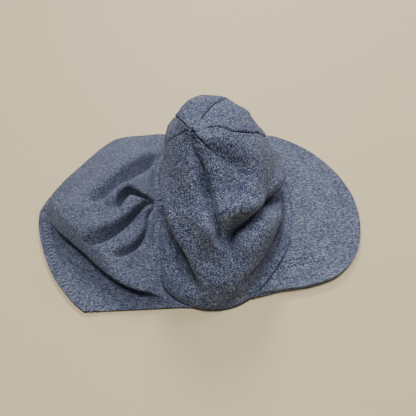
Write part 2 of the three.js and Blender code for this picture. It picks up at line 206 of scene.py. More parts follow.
# Each row: a point of the rim's lower edge, the band's lean, and the directions at the waist and the top.
RIM = table("x y z lean waist apex", [
    (75, -1, 3, 25, -42, -97), (66, -45, 3, 25, -67, -106), (38, -83, 2, 60, -91, -116),
    (8, -93, 1.2, 80, -132, -127), (-20, -80, 3, 60, -172, -138), (-33, -46, 8, 35, -194, -154),
    (-31, -16, 11, 35, -215, -170), (-38, 24, 8, 35, -252, -240), (-27, 70, 4, 50, -290, -308),
    (8, 92, 1.5, 65, -316, -349), (46, 80, 2, 50, -347, -391), (68, 42, 3, 25, -372, -424),
])
# Each row: a section's height and reach, its roundness, and how far it has turned to the waist's and the
# top's directions.
LEVELS = table("z front back near far power waist apex", [
    (24, 65, -31, -84, 86, 2.1, 0.25, 0), (42, 57, -27, -64, 73, 2.1, 0.65, 0),
    (58, 50, -22.5, -46, 58, 2.2, 1, 0), (71, 42, -19, -32, 46, 2.15, 1, 0.3),
    (81, 30, -13, -23, 33, 2.1, 1, 0.7), (86, 16, -9, -19, 18, 2.1, 1, 1),
])
APEX = np.array([-2.2, -13.0, 87.0])
APEX_KNOT = len(LEVELS) + 2
ROW_TURN = 360 / len(RIM)
RIM_MIDDLE_X = 17
RIM_HALF_X = 52
RIM_HALF_Y = 90
# The rim's direction is a full turn or more off the waist's, unless it is taken from the turn nearest to
# the waist's and this lead, in radians.
WAIST_LEAD = 0.6


def rim_low(u):
    """The lower edge of the rim at broken row numbers."""
    return np.stack([around(column(RIM, name), u) for name in "xyz"], -1)


def rim_out(u):
    """The level direction away from the cap."""
    step = 0.02
    run = rim_low(u + step) - rim_low(u - step)
    out = np.stack([-run[..., 1], run[..., 0], np.zeros(np.shape(u))], -1)
    return out / np.linalg.norm(out, axis=-1, keepdims=True)


def direction(name, u):
    """The direction, in radians, in which these rim rows cross the waist or the top."""
    turned = column(RIM, name) + ROW_TURN * np.arange(len(RIM))
    return np.radians(around(turned, u) - ROW_TURN * u)


def level_point(level, angle):
    """The points of one level section, between an ellipse and a box, in these directions."""
    c, s = np.cos(angle), np.sin(angle)
    e = 2 / level["power"]
    middle_x, half_x = (level["front"] + level["back"]) / 2, (level["front"] - level["back"]) / 2
    middle_y, half_y = (level["far"] + level["near"]) / 2, (level["far"] - level["near"]) / 2
    x = middle_x + half_x * np.sign(c) * np.abs(c) ** e
    y = middle_y + half_y * np.sign(s) * np.abs(s) ** e
    return np.stack([x, y, np.full_like(x, level["z"])], -1)


def plain_cap(u, t):
    """The unfolded surface: u counts rim rows, t counts knots from the rim's edge at 0 to the apex."""
    u, t = np.broadcast_arrays(np.asarray(u, float), np.asarray(t, float))
    low = rim_low(u)
    lean = np.radians(around(column(RIM, "lean"), u))
    top = low - rim_out(u) * (BAND_WIDTH * np.cos(lean))[..., None]
    top[..., 2] += BAND_WIDTH * np.sin(lean)
    waist, apex = direction("waist", u), direction("apex", u)
    start = np.arctan2(top[..., 1] / RIM_HALF_Y, (top[..., 0] - RIM_MIDDLE_X) / RIM_HALF_X)
    start += 2 * np.pi * np.round((waist + WAIST_LEAD - start) / (2 * np.pi))
    knots = [low, top]
    for level in LEVELS:
        angle = start + (waist - start) * level["waist"] + (apex - waist) * level["apex"]
        knots.append(level_point(level, angle))
    knots.append(np.broadcast_to(APEX, low.shape))
    knots = [2 * knots[0] - knots[1], *knots, 2 * knots[-1] - knots[-2]]
    knots = np.stack(knots)
    first = np.clip(np.floor(t).astype(int), 0, APEX_KNOT - 1)
    a, b, c, d = (np.take_along_axis(knots, (first + k)[None, ..., None], 0)[0] for k in range(4))
    return catmull(a, b, c, d, (t - first)[..., None])


print("rim is about", round(line_length(rim_low(np.linspace(0, len(RIM), 400)))), "mm round")

# %% [markdown]
# ## Folds
#
# A fold is a line on the cloth, its crease, and a profile square to it. On one side the cloth stands up as a
# wall to a ridge, on the other it runs out low. The profile tells each thread how far it moves along the
# cloth and how far it rises, so that the cloth can lean over its own crease, which a plain bump can't do.
# Where the depth in the table falls to nothing, the fold runs out, as it does in jersey.

# %% A fold's profile, and how cloth moves beside its line
# Rows of: place beside the crease, how far along, how high. From 0 to 1 is the wall, beyond 1 its crest.
FOLD_PROFILE = [
    (-4.2, 0, 0), (-3.2, 0, 0.04), (-2.2, 0.02, 0.14), (-1.4, 0.05, 0.16), (-0.8, 0.1, 0.02),
    (-0.35, 0.16, -0.42), (-0.1, 0.18, -0.86), (0, 0.1, -1), (0.1, 0.02, -0.92), (0.3, 0, -0.58),
    (0.55, -0.04, -0.05), (0.8, -0.1, 0.42), (1, -0.1, 0.6), (1.3, -0.04, 0.66), (2, 0, 0.42),
    (3, 0, 0.14), (4, 0, 0),
]
# The widths in mm that one place stands for, below the crease and beyond the wall.
FOLD_FOOT = 6.0
FOLD_CREST = 6.5
# From this place up, the wall and its crest take on the fold's own lean.
LEAN_FROM = 0.3


def profile_move(distance, wall, foot, crest, lean):
    """How far cloth at these distances moves along the cloth and up, as shares of the fold's depth."""
    beyond = 1 + (distance - wall) / crest
    place = np.where(distance < 0, distance / foot, np.where(distance < wall, distance / wall, beyond))
    profile = np.array(FOLD_PROFILE, float)
    rows = np.interp(place, profile[:, 0], np.arange(len(profile)))
    found = along(profile[:, 1:], rows)
    inside = (place > profile[0, 0]) & (place < profile[-1, 0])
    shift = found[..., 0] * np.where(place > LEAN_FROM, lean, 1)
    return np.where(inside, shift, 0), np.where(inside, found[..., 1], 0)


def beside_line(points, normals, line):
    """For each point: distance to its left of the line, the share of the line's length, and the way left."""
    flat, up = points.reshape(-1, 3), normals.reshape(-1, 3)
    best = np.full(len(flat), np.inf)
    side, share, left = np.zeros(len(flat)), np.zeros(len(flat)), np.zeros_like(flat)
    for k in range(len(line) - 1):
        run = line[k + 1] - line[k]
        f = np.clip((flat - line[k]) @ run / (run @ run), 0, 1)
        away = flat - line[k] - f[:, None] * run
        across = np.cross(up, run)
        across /= np.linalg.norm(across, axis=1, keepdims=True)
        distance = np.linalg.norm(away, axis=1)
        nearer = distance < best
        best = np.where(nearer, distance, best)
        side = np.where(nearer, np.sign((away * across).sum(1)) * distance, side)
        share = np.where(nearer, (k + f) / (len(line) - 1), share)
        left = np.where(nearer[:, None], across, left)
    shape = points.shape[:-1]
    return side.reshape(shape), share.reshape(shape), left.reshape(points.shape)


def fine_path(path):
    """A smooth path through a table's rows, five points to a row."""
    path = np.array(path, float)
    return along(path, np.linspace(0, len(path) - 1, 5 * len(path)))


def fold_move(points, normals, line, walls, depths, hand, foot=FOLD_FOOT, crest=FOLD_CREST, lean=1.0):
    """The move that one fold gives to every point of a cloth; lean makes its ridge hang over its crease."""
    side, share, left = beside_line(points, normals, line)
    places = np.linspace(0, 1, len(line))
    wall = np.interp(share, places, walls)
    depth = np.interp(share, places, np.maximum(depths, 0))
    shift, rise = profile_move(side * hand, wall, foot, crest, lean)
    return left * (hand * shift * depth)[..., None] + normals * (rise * depth)[..., None]


def grid_normals(points, closed=False):
    """Outward normals of a grid of points whose first way runs along the rim."""
    if closed:
        du = np.roll(points, -1, 0) - np.roll(points, 1, 0)
    else:
        du = np.gradient(points, axis=0)
    dv = np.gradient(points, axis=1)
    normals = np.cross(dv, du)
    length = np.linalg.norm(normals, axis=-1, keepdims=True)
    return normals / np.maximum(length, 1e-9)


def crumple(points, scale, seed):
    """Smooth noise over points in mm, from about -1 to 1."""
    flat = points.reshape(-1, 3) / scale + np.array(seed, float)
    return np.array([noise.noise(Vector(spot)) for spot in flat]).reshape(points.shape[:-1])


# %% [markdown]
# ## The crown
#
# The six gores are made as one cloth, so that folds run across seams without a step, and are then cut apart
# along the seams. Each gore puffs out a little between its seams, and the seams pull the cloth in: a narrow
# valley with small puckers along it. Last come the folds, which the slump has made, and a fine crumple.

# %% The folds and dents of the crown
# Each path row: rim row, knot, how wide the wall is, how deep the fold is, both in mm. hand says on which
# side of the path the wall stands, and dark how dark the shade painted in its crease is.
CROWN_FOLDS = [
    {"at": "near front seam", "hand": -1, "foot": 3.5, "path": [
        (2.6, 6.0, 3, 0), (2.45, 5.7, 4, 1.5), (2.2, 5.3, 5.5, 3.5), (2.1, 4.95, 7, 5),
        (2.1, 4.5, 8.5, 6.5), (2.1, 4.1, 9, 7), (2.12, 3.8, 9, 7.5), (2.12, 3.5, 8, 8),
        (2.15, 3.2, 7, 8.5), (2.2, 3.0, 6, 7.5), (2.2, 2.75, 5, 0)]},
    {"at": "front near lap", "hand": -1, "foot": 5.0, "dark": 0.3, "path": [
        (-0.6, 1.6, 11, 0), (-0.3, 1.9, 12, 6), (0.05, 2.35, 13, 11), (0.22, 2.68, 11, 11),
        (0.4, 2.92, 9, 9.5), (0.65, 3.02, 9, 9), (1.0, 3.02, 13, 9.5), (1.4, 2.97, 18, 11),
        (1.7, 2.88, 21, 12), (1.9, 2.75, 18, 9), (2.05, 2.6, 9, 3), (2.2, 2.35, 5, 0)]},
    {"at": "near back lap", "hand": 1, "foot": 10.0, "dark": 0.6, "path": [
        (5.4, 1.5, 24, 0), (4.95, 1.8, 27, 6), (4.6, 1.95, 26, 9.5), (4.05, 2.05, 21, 11),
        (3.7, 2.1, 15.5, 10), (3.4, 2.1, 11, 8), (3.3, 1.95, 8.5, 5.5), (3.25, 1.65, 7, 3),
        (3.25, 1.35, 6, 0)]},
    {"at": "far front crease", "path": [
        (10.7, 1.4, 6, 0), (10.6, 2, 7, 3), (10.5, 2.8, 8, 3.5), (10.2, 4.2, 6, 0)]},
    {"at": "back far crease", "path": [
        (7.2, 1.3, 6, 0), (7.4, 2, 8, 3), (7.5, 2.8, 8, 3.5), (7.6, 4.2, 6, 0)]},
    {"at": "far gore crease", "hand": -1, "path": [
        (8.7, 1.5, 6, 0), (8.5, 2.4, 7, 3), (8.2, 3.4, 7, 2.5), (8, 4.6, 6, 0)]},
]
# Each path row: rim row, knot, how wide the dent is, how deep, both in mm.
CROWN_DENTS = {
    "front seam": [
        (0.9, 6.1, 4, 0), (0.55, 5.6, 4.5, 3.5), (0.3, 5.1, 5.5, 4.2), (0.1, 4.7, 6.5, 3.5),
        (-0.05, 4.2, 7, 0)],
    "above the band": [
        (-0.9, 1.8, 8, 0), (-0.3, 1.8, 9, 3), (0.5, 1.8, 10, 5), (1.2, 1.8, 9, 5), (1.9, 1.7, 8, 2),
        (2.5, 1.6, 7, 0)],
    "front foot": [
        (-0.6, 1.3, 4, 0), (0, 1.3, 4, 1), (0.6, 1.35, 4.5, 1.2), (1.2, 1.4, 5, 1.2), (1.7, 1.5, 5, 1),
        (2.1, 1.5, 5, 0)],
    "near back foot": [
        (5.4, 1.7, 7, 0), (4.9, 1.65, 8, 4.5), (4.3, 1.6, 8, 7), (3.8, 1.55, 8, 6.5),
        (3.3, 1.55, 7, 3.5), (2.9, 1.6, 6, 0)],
    "front ridge": [
        (-1, 2.9, 9, 0), (-0.4, 3.1, 11, 6), (0.1, 3.25, 11, 8), (0.45, 3.4, 10, 5), (0.8, 3.6, 9, 1.5),
        (1.1, 3.8, 8, 0)],
    "near back ridge": [
        (5.8, 3.4, 10, 0), (5.3, 3.1, 11, 3), (4.8, 2.9, 11, 4), (4.2, 2.9, 10, 4), (3.8, 3, 9, 2.5),
        (3.4, 3.1, 8, 0)],
    "nape": [
        (4.8, 2, 8, 0), (5.2, 1.9, 9, 5), (5.6, 1.9, 10, 8), (6.1, 1.9, 10, 8.5), (6.5, 2.1, 10, 5),
        (7.1, 2.3, 10, 0)],
    "back seam": [
        (6.2, 1.2, 10, 3), (6.3, 2.5, 12, 4), (6.6, 4.6, 10, 0)],
    "far gore": [
        (9.4, 1.4, 12, 2), (9.2, 3.2, 12, 3.5), (9, 5, 10, 0)],
    "far outline": [
        (8.1, 5.9, 8, 0), (8.6, 5.1, 11, 3), (9, 4.7, 12, 5), (9.5, 4.3, 12, 4), (10.1, 3.7, 10, 0)],
    "back outline": [
        (6.9, 5.9, 8, 0), (6.5, 5.4, 10, 3), (6.2, 4.8, 10, 3), (5.9, 4, 10, 0)],
    "tongue": [
        (3.1, 4.6, 7, 0), (2.9, 4.2, 8, 1.2), (2.5, 3.9, 8, 1), (2.4, 3.6, 6, 0)],
    "wing": [
        (1.5, 4.9, 7, 0), (1.1, 4.4, 8, 1.6), (0.8, 3.9, 8, 1.2), (0.6, 3.6, 6, 0)],
}
GORES = [
    "crown_front_near", "crown_side_near", "crown_back_near", "crown_back_far", "crown_side_far",
    "crown_front_far",
]
GORE_COLUMNS = 84
CROWN_ROWS = 176
TIP_KNOT = 0.06
GORE_PUFF = 1.2
# Where the gores lose their puff: from which knot, over how many knots, and how much of it.
PUFF_LOSS = {"from": 4, "over": 2, "share": 0.8}
# Over how many knots the folds fade in above the band and out below the apex.
FOLD_FADE = {"band": 0.5, "apex": 1.2}
SEAM_SINK = 0.9
SEAM_WIDTH = 0.9
# How wide the painted shade along a seam is, in mm.
SEAM_SHADE_WIDTH = 0.55
# How wide the painted shade in a crease is, and from which depth of its fold it is fully dark, in mm.
CREASE_SHADE_WIDTH = 2.5
CREASE_DEPTH = 6


def dent_rise(points, normals, path):
    """How far the dent along this path presses every point of the crown's cloth in."""
    fine = fine_path(path)
    side, share, _ = beside_line(points, normals, plain_cap(fine[:, 0], fine[:, 1]))
    places = np.linspace(0, 1, len(fine))
    width = np.interp(share, places, fine[:, 2])
    return -np.interp(share, places, fine[:, 3]) * bell(side, width)


# For two seams, by rim row, rows of: knot, how many rim rows the seam strays from its own.
SEAM_DRIFT = {
    10: [
        (1, 0), (3.5, 0.1), (5, 0.15), (5.7, 0.25), (6.3, 0.35), (6.65, 0.05), (7, -0.15), (7.3, -0.12),
        (7.8, 0), (8, 0)],
    0: [
        (1, 0), (4.6, 0), (5.2, 0.3), (5.7, 0.8), (6, 0.85), (6.4, 0.75), (6.8, 0.4), (7.2, 0.1),
        (7.6, 0), (8, 0)],
}


def seam_drift(u, t):
    """The cloth slides a little under these seams, fading to nothing at the seams beside them."""
    slide = np.zeros_like(t)
    for seam, rows in SEAM_DRIFT.items():
        knots, drift = np.array(rows).T
        rows_off = np.abs((u - seam + len(RIM) / 2) % len(RIM) - len(RIM) / 2)
        slide += np.interp(t, knots, drift) * (1 - rows_off / 2).clip(0, 1)
    return slide


def crease_dark(points, normals, line, depths, dark):
    """How much shade is painted on the cloth in a fold's crease, where little light gets in."""
    side, share, _ = beside_line(points, normals, line)
    depth = np.interp(share, np.linspace(0, 1, len(line)), depths)
    return dark * bell(side, CREASE_SHADE_WIDTH) * smooth(depth / CREASE_DEPTH)


def crown_grid():
    """The crown as one closed cloth, before and after it is folded, and the shade painted in its creases."""
    u = np.arange(GORE_COLUMNS * len(GORES)) / GORE_COLUMNS * 2
    t = np.linspace(1.0, APEX_KNOT - TIP_KNOT, CROWN_ROWS)
    u, t = np.meshgrid(u, t, indexing="ij")
    plain = plain_cap(u + seam_drift(u, t), t)
    normals = grid_normals(plain, closed=True)
    gore = (u / 2) % 1
    clear = smooth((t - 1) / FOLD_FADE["band"]) * smooth((APEX_KNOT - t) / FOLD_FADE["apex"])
    puff = GORE_PUFF * (1 - PUFF_LOSS["share"] * smooth((t - PUFF_LOSS["from"]) / PUFF_LOSS["over"]))
    points = plain + normals * (clear * puff * np.sin(np.pi * gore))[..., None]
    crease_shade = np.zeros_like(t)
    for fold in CROWN_FOLDS:
        fine = fine_path(fold["path"])
        line = plain_cap(fine[:, 0], fine[:, 1])
        hand, foot = fold.get("hand", 1), fold.get("foot", FOLD_FOOT)
        points += fold_move(plain, normals, line, fine[:, 2], fine[:, 3], hand, foot) * clear[..., None]
        if "dark" in fold:
            crease_shade = np.maximum(crease_shade, crease_dark(plain, normals, line, fine[:, 3], fold["dark"]))
    for path in CROWN_DENTS.values():
        points += normals * (dent_rise(plain, normals, path) * clear)[..., None]
    return u, t, plain, points, crease_shade


def seam_distance(points, u):
    """How far across the cloth each point lies from its nearest seam, in mm."""
    width = np.linalg.norm(np.roll(points, -1, 0) - points, axis=-1) * GORE_COLUMNS
    gore = (u / 2) % 1
    return np.minimum(gore, 1 - gore) * width


# For each seam, rows of: knot, how clearly the seam shows there.
SEAM_SHOWS = [
    [(1, 0), (3.5, 0.05), (5.2, 0.1), (5.7, 0.3), (6, 0.9), (6.8, 1), (8, 1)],
    [(1, 0.3), (1.6, 0.2), (3, 0.05), (4.8, 0.1), (5.6, 0.25), (6.5, 0.15), (8, 0.1)],
    [(1, 0.15), (3, 0.1), (5, 0.3), (6.2, 0.6), (7.2, 0.7), (7.6, 0.3), (8, 0.2)],
    [(1, 0.8), (8, 1)],
    [(1, 0.8), (5, 1), (7, 1.1), (7.55, 0.9), (7.75, 0.1), (8, 0.1)],
    [(1, 0.8), (3.5, 1), (7, 1.1), (7.3, 0.9), (7.6, 0.1), (8, 0.1)],
]


def seam_shows(u, t):
    """How clearly the seam nearest to each point shows."""
    nearest = np.round(u / 2).astype(int) % len(SEAM_SHOWS)
    shows = np.zeros_like(t)
    for index, rows in enumerate(SEAM_SHOWS):
        knots, values = np.array(rows, float).T
        shows = np.where(nearest == index, np.interp(t, knots, values), shows)
    return shows


# Rows of: rim row, the knot where the band's seam lies on the crown's cloth, how clearly it shows.
BAND_SEAM = [
    (0, 1.15, 0.5), (0.5, 1.35, 0.9), (1, 1.5, 1), (1.4, 1.6, 1), (1.8, 1.55, 0.9), (2.2, 1.5, 0.2),
    (2.6, 1.4, 0), (11, 1.2, 0), (12, 1.15, 0.5),
]
# How deep and how wide that seam is, and about how far one knot is from the next, in mm.
BAND_SEAM_SINK = 0.7
BAND_SEAM_WIDTH = 0.7
KNOT_HEIGHT = 17.0
# Along a seam, how fast the puckers follow each other, in radians a mm, how far they stray, how high they
# are, and how far beside the seam they lie and reach, in mm.
PUCKER = {"turn": 1.15, "stray": 6, "rise": 0.25, "beside": 1.8, "reach": 2}
# Rows of: the size of a crumple and its height, in mm, and the noise's seed.
CROWN_CRUMPLES = [(26, 1.2, (8, 2, 5)), (10, 0.6, (1, 7, 3)), (4, 0.16, (5, 5, 1))]
# From which knot the crumples start, and over how many they fade at the band and at the apex.
CRUMPLE_FADE = {"from": 0.9, "band": 0.4, "apex": 0.5}
# How dark the painted shade in the band's seams and joints is, from 0 to 1.
SEAM_SHADE_SHARE = 0.9


def band_seam(u, t):
    """How near each point lies to the band's upper seam where the band is broad."""
    rows, knots, shows = np.array(BAND_SEAM).T
    return np.interp(u, rows, shows) * bell((t - np.interp(u, rows, knots)) * KNOT_HEIGHT, BAND_SEAM_WIDTH)


def pull_seams(points, u, t):
    """Sinks and puckers the cloth along the seams, crumples it finely all over, and paints shade in the
    seams.
    """
    normals = grid_normals(points, closed=True)
    away = seam_distance(points, u)
    shows = seam_shows(u, t)
    run = np.cumsum(np.linalg.norm(np.gradient(points, axis=1), axis=-1), axis=1)
    wave = np.sin(run * PUCKER["turn"] + PUCKER["stray"] * crumple(points, 9, (3, 1, 4)))
    pucker = PUCKER["rise"] * wave * bell(away - PUCKER["beside"], PUCKER["reach"])
    rise = shows * (pucker - SEAM_SINK * bell(away, SEAM_WIDTH))
    for size, height, seed in CROWN_CRUMPLES:
        rise = rise + height * crumple(points, size, seed)
    rise = rise * smooth((APEX_KNOT - t) / CRUMPLE_FADE["apex"])
    rise = rise * smooth((t - CRUMPLE_FADE["from"]) / CRUMPLE_FADE["band"])
    band = band_seam(u, t)
    # Painted shade along the seams and the band's seam.
    painted_shade = np.maximum(shows * bell(away, SEAM_SHADE_WIDTH), SEAM_SHADE_SHARE * band)
    return points + normals * (rise - BAND_SEAM_SINK * band)[..., None], painted_shade


# %% Cloth pieces from grids of points
EDGE_STEPS = 3
EDGE_ANGLE = 60


def shade_smooth(piece):
    for polygon in piece.data.polygons:
        polygon.use_smooth = True


def select_only(piece):
    deselect_all()
    piece.select_set(True)
    bpy.context.view_layer.objects.active = piece


def apply_modifiers(piece):
    select_only(piece)
    for modifier in list(piece.modifiers):
        bpy.ops.object.modifier_apply(modifier=modifier.name)


def cloth_piece(name, points, wall, cloth_mm, edge=0.0, middle=False, painted_shade=None):
    """A wall of cloth on a grid of points in mm: a grid primitive whose vertices take their places.

    cloth_mm holds each point's place on the flat cloth, and becomes the UV map, in metres.
    The painted shade, from 0 to 1, says how much shade is painted on each point, and becomes an attribute.
    """
    nu, nv = points.shape[:2]
    deselect_all()
    bpy.ops.mesh.primitive_grid_add(x_subdivisions=nv - 1, y_subdivisions=nu - 1, size=1)
    piece = bpy.context.object
    piece.name = name
    mesh = piece.data
    mesh.vertices.foreach_set("co", ((points + TABLE_SHIFT) * MM).reshape(-1).astype(np.float32))
    uv = mesh.uv_layers[0]
    uv.name = "cloth"
    corner = np.empty(len(mesh.loops), np.int32)
    mesh.loops.foreach_get("vertex_index", corner)
    uv.data.foreach_set("uv", (cloth_mm.reshape(-1, 2)[corner] * MM).reshape(-1).astype(np.float32))
    if painted_shade is not None:
        shade_amount = mesh.attributes.new("painted_shade", "FLOAT", "POINT")
        shade_amount.data.foreach_set("value", painted_shade.reshape(-1).clip(0, 1).astype(np.float32))
    mesh.update()
    solidify = piece.modifiers.new("wall", "SOLIDIFY")
    solidify.thickness = wall * MM
    solidify.offset = 0.0 if middle else -1.0
    solidify.use_even_offset = False
    if edge:
        bevel = piece.modifiers.new("edge", "BEVEL")
        bevel.width = edge * MM
        bevel.segments = EDGE_STEPS
        bevel.limit_method = "ANGLE"
        bevel.angle_limit = math.radians(EDGE_ANGLE)
    apply_modifiers(piece)
    shade_smooth(piece)
    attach(piece, "root")
    return piece


def cloth_place(points):
    """Each point's place on the flat cloth, in mm, from lengths along the grid's two ways."""
    across = np.linalg.norm(np.diff(points, axis=0), axis=-1)
    up = np.linalg.norm(np.diff(points, axis=1), axis=-1)
    across = np.concatenate([np.zeros((1, points.shape[1])), np.cumsum(across, 0)])
    up = np.concatenate([np.zeros((points.shape[0], 1)), np.cumsum(up, 1)], axis=1)
    across = across - across[len(across) // 2]
    return np.stack([across, up], -1)


def flat_area(points):
    """The area of a grid of points, in square metres."""
    a = points[1:, :-1] - points[:-1, :-1]
    b = points[:-1, 1:] - points[:-1, :-1]
    return float(np.linalg.norm(np.cross(a, b), axis=-1).sum()) * MM * MM


# %% Cut the crown into its six gores
CROWN_WALL = 1.5
crown_u, crown_t, crown_plain, crown_points, crown_crease_shade = crown_grid()
crown_points, crown_painted_shade = pull_seams(crown_points, crown_u, crown_t)
# Painted shade of the seams, the band's seam and the creases, in one.
crown_painted_shade = np.maximum(crown_painted_shade, crown_crease_shade)
gores = []
for index, name in enumerate(GORES):
    columns = (np.arange(GORE_COLUMNS + 1) + index * GORE_COLUMNS) % len(crown_points)
    part = crown_points[columns]
    painted_shade = crown_painted_shade[columns]
    gore = cloth_piece(name, part, CROWN_WALL, cloth_place(crown_plain[columns]), painted_shade=painted_shade)
    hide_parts(name)
    gores.append(gore)

# %% [markdown]
# ## The band
#
# The band is a casing of doubled jersey round the rim, with an elastic in its back part that draws it into
# small pleats at the nape. It is a ring: its outside follows the rim, and a wall turns it into cloth.

# %% Make the band
BAND_WALL = 2.2
BAND_COLUMNS = 1500
BAND_RINGS = 16
# About how long one rim row is, in mm.
BAND_ROW = 43.0
BAND_TOP_KNOT = 0.99
# How far the band bulges out and crumples, and how deep and wide its upper seam is, in mm.
BAND_PUFF = {"rise": 0.7, "roundness": 0.6}
BAND_TOP = {"sink": 0.8, "width": 0.9}
BAND_CRUMPLE = 0.25
# How dark the painted shade in the band's upper seam and its pleats is, from 0 to 1.
LINE_SHADE_SHARE = 0.8
# Rows of: the rim row of a pleat at the nape, how deep it is pressed in, in mm.
NAPE_PLEATS = [
    (5.7, 0.5), (5.81, 0.8), (5.89, 1.3), (5.96, 1.4), (6.03, 1.4), (6.11, 1.3), (6.27, 1.2),
    (6.42, 0.8), (6.6, 0.5),
]
PLEAT_WIDTH = 0.5
# How wide the painted shade line of a joint is, in mm, and how much wider it gets for each mm up the band.
JOINT_SHADE_WIDTH = 0.6
JOINT_SHADE_SPREAD = 0.2
# The joints show only as painted shade, a dark line at the band's foot.
# Rows of: rim row, how clearly the joint at the band's foot shows, how far up the band it lies, in mm.
JOINT_SHOWS = [
    (0, 0.15, 0), (0.6, 0.2, 0), (1, 0.7, 0), (1.3, 1, 0), (3.3, 1, 0), (3.6, 1, 0.8), (4.2, 0.9, 1),
    (4.6, 0.7, 1.1), (5, 0.5, 1.1), (5.5, 0.2, 1.2), (8.4, 0.2, 1), (8.7, 0.7, 0), (11, 0.6, 0),
    (12, 0.15, 0),
]
# Rows of: rim row, how clearly the band's upper seam shows.
BAND_SHOWS = [
    (0, 0.6), (0.5, 0.1), (1.9, 0.05), (2.4, 0.05), (5, 0.05), (5.6, 0.8), (6.6, 1), (7.5, 0.8),
    (9, 0.3), (10, 0.8), (11, 1), (12, 0.6),
]


def nape_pleats(u):
    """How far the pleats at the nape press the band in."""
    return sum(depth * bell((u - row) * BAND_ROW, PLEAT_WIDTH) for row, depth in NAPE_PLEATS)


def joint_shows(u):
    """How clearly the painted shade at the joint shows at these rim rows, and how far up the band it lies.
    """
    rows, shows, heights = np.array(JOINT_SHOWS).T
    return np.interp(u % len(RIM), rows, shows), np.interp(u % len(RIM), rows, heights)


def band_grid():
    """The band's outside, and how much shade is painted on each point in its seam, its pleats and its joint.
    """
    u = np.linspace(0, len(RIM), BAND_COLUMNS + 1)
    w = np.linspace(0, 1, BAND_RINGS)
    u, w = np.meshgrid(u, w, indexing="ij")
    plain = plain_cap(u, w * BAND_TOP_KNOT)
    normals = grid_normals(plain)
    shows = np.interp(u, *np.array(BAND_SHOWS).T)
    pleats = nape_pleats(u)
    rise = BAND_PUFF["rise"] * np.sin(np.pi * w) ** BAND_PUFF["roundness"] * shows - pleats
    line = shows * bell((1 - w) * BAND_WIDTH, BAND_TOP["width"])
    rise = rise - BAND_TOP["sink"] * line + BAND_CRUMPLE * crumple(plain, 7, (2, 9, 6))
    seen, up_band = joint_shows(u)
    # Painted shade at the band's foot.
    joint = SEAM_SHADE_SHARE * seen * bell(w * BAND_WIDTH - up_band, JOINT_SHADE_WIDTH + JOINT_SHADE_SPREAD * up_band)
    painted_shade = np.maximum.reduce([LINE_SHADE_SHARE * line, LINE_SHADE_SHARE * pleats, joint])
    return plain + normals * rise[..., None], painted_shade


band_points, band_painted_shade = band_grid()
band_points[-1] = band_points[0]
band_cloth = cloth_place(band_points)
rim_band = cloth_piece("rim_band", band_points, BAND_WALL, band_cloth, edge=0.5, painted_shade=band_painted_shade)
select_only(rim_band)
bpy.ops.object.mode_set(mode="EDIT")
bpy.ops.mesh.select_all(action="SELECT")
bpy.ops.mesh.remove_doubles(threshold=0.01 * MM)
bpy.ops.object.mode_set(mode="OBJECT")
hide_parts("rim_band")

# %% [markdown]
# ## The peak
#
# The peak is two layers of jersey over a soft foam, so it is a padded sheet: even in thickness, with a round
# outer edge, a slight dome, and the edge lifted a little off the floor.

# %% Make the peak
PEAK_EDGE = [
    (39, -82), (57, -79), (79, -75), (99, -66.5), (115, -48.5), (123.5, -24), (125, 2), (119, 28),
    (107.5, 50), (91, 69), (70, 82.5), (47, 86),
]
PEAK_ROWS = {"from": 2.05, "to": -2.05}
PEAK_WALL = 3.2
PEAK_TUCK = 0.8
PEAK_COLUMNS = 230
PEAK_RINGS = 110
# How far the outer edge curls up and the middle domes, in mm, and from where to where across the peak.
CURL = {"rise": 2.0, "from": 0.55, "over": 0.45, "loss": 0.6}
DOME = {"rise": 3.0, "at": 0.24, "width": 0.3, "under": 0.35}
PEAK_LIFT = 0.35


def peak_grid():
    """The middle of the peak's thickness, from the rim out to its edge."""
    p, q = shares(PEAK_COLUMNS, PEAK_RINGS)
    u = PEAK_ROWS["from"] + (PEAK_ROWS["to"] - PEAK_ROWS["from"]) * p
    start = rim_low(u) - rim_out(u) * PEAK_TUCK
    edge = along(PEAK_EDGE, p * (len(PEAK_EDGE) - 1))
    plan = start[..., :2] + (edge - start[..., :2]) * q[..., None]
    depth = smooth(np.sin(np.pi * p) * 1.6)
    fall = 1 - CURL["loss"] * smooth(p * 1.6 - 0.6)
    curl = CURL["rise"] * smooth((q - CURL["from"]) / CURL["over"]) * fall
    dome = DOME["rise"] * depth * bell(q - DOME["at"], DOME["width"])
    foot = (start[..., 2] - 2.2).clip(0) * (1 - smooth(q / 0.3))
    under = np.maximum(0, foot + DOME["under"] * dome + curl - 0.9)
    spots = np.dstack([plan, np.zeros_like(q)])
    waves = 0.35 * crumple(spots, 22, (4, 4, 4)) * smooth(q / 0.2)
    height = under + PEAK_WALL / 2 + (1 - DOME["under"]) * dome / 2 + waves
    height = height + 0.12 * crumple(spots, 8, (6, 1, 2)) + PEAK_LIFT
    return np.dstack([plan, height])


peak_points = peak_grid()
# Painted shade along the peak's joint with the band.
peak_joint_shade = bell(np.linalg.norm(peak_points - peak_points[:, :1], axis=-1) - PEAK_TUCK, JOINT_SHADE_WIDTH)
peak_joint_shade *= joint_shows(np.linspace(PEAK_ROWS["from"], PEAK_ROWS["to"], PEAK_COLUMNS))[0][:, None]
peak_cloth = peak_points[..., :2]
peak = cloth_piece("peak", peak_points, PEAK_WALL, peak_cloth, edge=1.3, middle=True, painted_shade=peak_joint_shade)
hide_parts("peak")
print("peak", round(flat_area(peak_points) * 1e4), "cm2")

# %% [markdown]
# ## The neck flap
#
# The flap is one layer of jersey with a stitched hem. It is gathered into the nape, so folds run out from
# there. On the near side it has doubled: a long lip hangs over a strip that lies flat on the floor.

